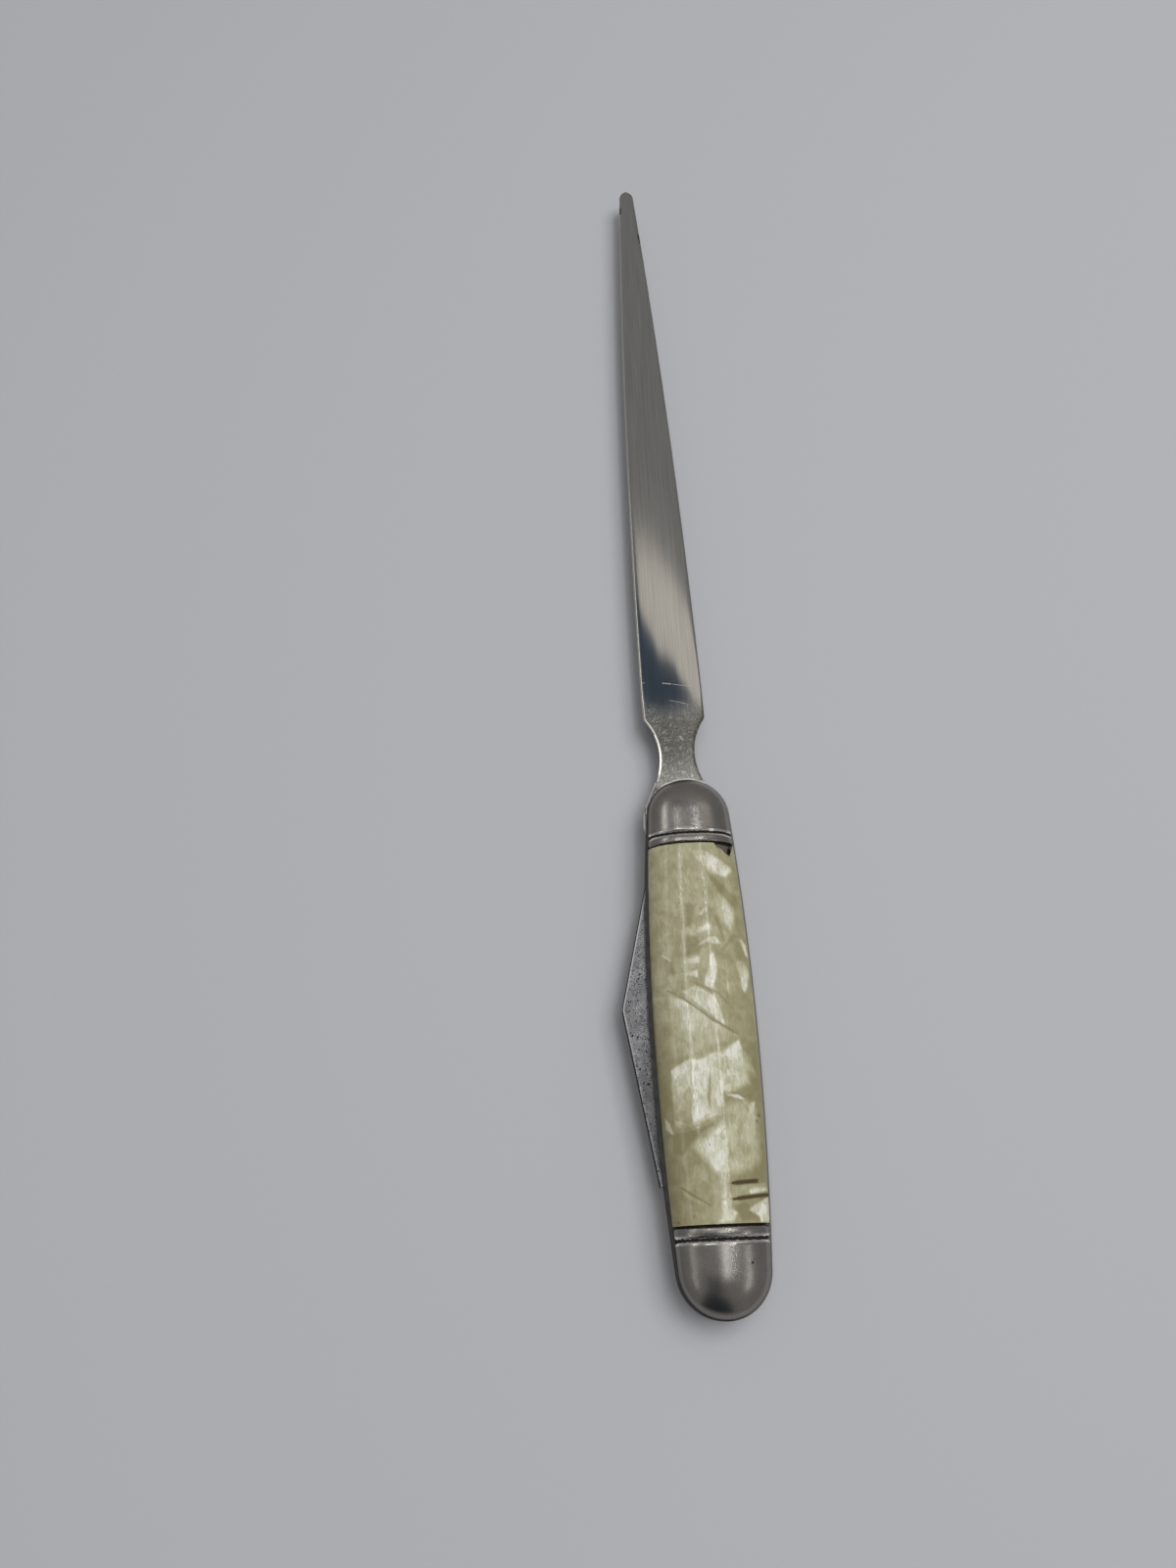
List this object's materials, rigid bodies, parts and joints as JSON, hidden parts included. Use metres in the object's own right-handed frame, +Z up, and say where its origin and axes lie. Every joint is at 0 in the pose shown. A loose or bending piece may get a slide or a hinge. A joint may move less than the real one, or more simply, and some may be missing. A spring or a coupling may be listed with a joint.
{
  "type": "letter opener with folding pen blade",
  "caption": "Slim steel letter opener fixed in a domed-end handle with pearl celluloid scales; a clip-point pen blade folds into the handle's side to cut string and tape.",
  "frame": {"origin": "on the table, in the middle of the narrow flat land along the rear scale's crown, where the object lies", "axes": "+Y along the handle towards the opener's tip, +X towards the spring side, +Z up, out of the front scale"},
  "size_m": [0.0209, 0.2261, 0.0094],
  "materials": {
    "opener_steel": "polished, finely scratched",
    "pen_blade_steel": "worn and finely pitted",
    "spring_steel": "dull",
    "liner_steel": "dull, tarnished",
    "plated_shell": "dull plating, worn satin",
    "pearl_celluloid": "glossy pearl",
    "pin_steel": "dull"
  },
  "bodies": {
    "handle": {"opener_blade": "opener_steel", "back_spring": "spring_steel", "front_liner": "liner_steel", "rear_liner": "liner_steel", "front_shell": "plated_shell", "rear_shell": "plated_shell", "front_scale": "pearl_celluloid", "rear_scale": "pearl_celluloid", "blade_pivot_pin": "pin_steel", "opener_pin": "pin_steel", "spring_pin": "pin_steel"},
    "folding_blade": {"pen_blade": "pen_blade_steel"}
  },
  "joints": [
    {"name": "pen_blade_fold", "type": "hinge", "parent": "handle", "child": "folding_blade", "pos_m": [0, -0.03475, 0.0047], "axis": [0, 0, 1], "range_deg": [0, 170.9], "deforming": ["back_spring"]}
  ]
}
